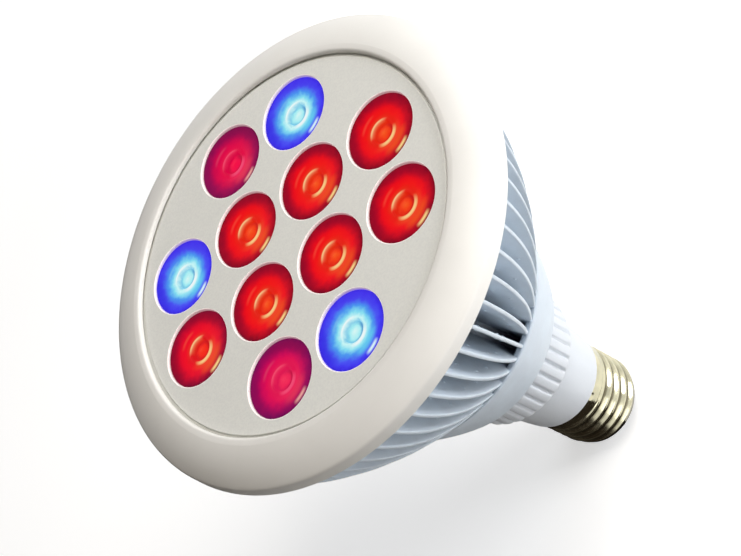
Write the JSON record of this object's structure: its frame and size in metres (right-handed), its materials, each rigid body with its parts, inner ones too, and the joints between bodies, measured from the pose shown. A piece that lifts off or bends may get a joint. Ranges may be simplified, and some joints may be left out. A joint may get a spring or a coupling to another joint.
{
  "type": "grow light bulb",
  "caption": "Screw-cap grow light bulb: white flared body with cooling fins, ribbed grip ring and a flat face with round red and blue lenses in a broad rim.",
  "frame": {"origin": "tip of the end contact, on the lamp's axis", "axes": "+Z along the lamp's axis from the screw cap to the lit face; X and Y along the rows of the square grid of lenses"},
  "size_m": [0.122, 0.122, 0.1405],
  "materials": {
    "brass": "satin",
    "cap_glass": "gloss",
    "nickel_plate": "gloss",
    "white_moulding": "satin",
    "white_casting": "satin",
    "pad": "satin",
    "board_white": "satin",
    "plate": "satin",
    "bezel": "satin",
    "screw_steel": "satin",
    "board_green": "satin",
    "component_dark": "satin",
    "component_yellow": "satin",
    "wire_red": "satin",
    "wire_black": "satin",
    "emitter": "gloss",
    "lens_red": "gloss",
    "lens_blue": "gloss"
  },
  "bodies": {
    "root": {"board_screws": "screw_steel", "bulk_capacitor": "component_dark", "cap_insulator": "cap_glass", "choke": "component_dark", "contact_lead": "wire_red", "driver_board": "board_green", "driver_chip": "component_dark", "end_contact": "brass", "face_plate": "plate", "film_capacitor": "component_yellow", "front_bezel": "bezel", "fuse": "component_dark", "heat_sink": "white_casting", "led_01": "emitter", "led_02": "emitter", "led_03": "emitter", "led_04": "emitter", "led_05": "emitter", "led_06": "emitter", "led_07": "emitter", "led_08": "emitter", "led_09": "emitter", "led_10": "emitter", "led_11": "emitter", "led_12": "emitter", "led_board": "board_white", "led_lead_negative": "wire_black", "led_lead_positive": "wire_red", "lens_01": "lens_red", "lens_02": "lens_blue", "lens_03": "lens_blue", "lens_04": "lens_red", "lens_05": "lens_red", "lens_06": "lens_red", "lens_07": "lens_red", "lens_08": "lens_red", "lens_09": "lens_red", "lens_10": "lens_red", "lens_11": "lens_red", "lens_12": "lens_blue", "neck_housing": "white_moulding", "neck_screws": "screw_steel", "output_capacitor": "component_dark", "rectifier": "component_dark", "screw_shell": "nickel_plate", "shell_lead": "wire_black", "thermal_pad": "pad", "transformer": "component_yellow"}
  },
  "joints": []
}
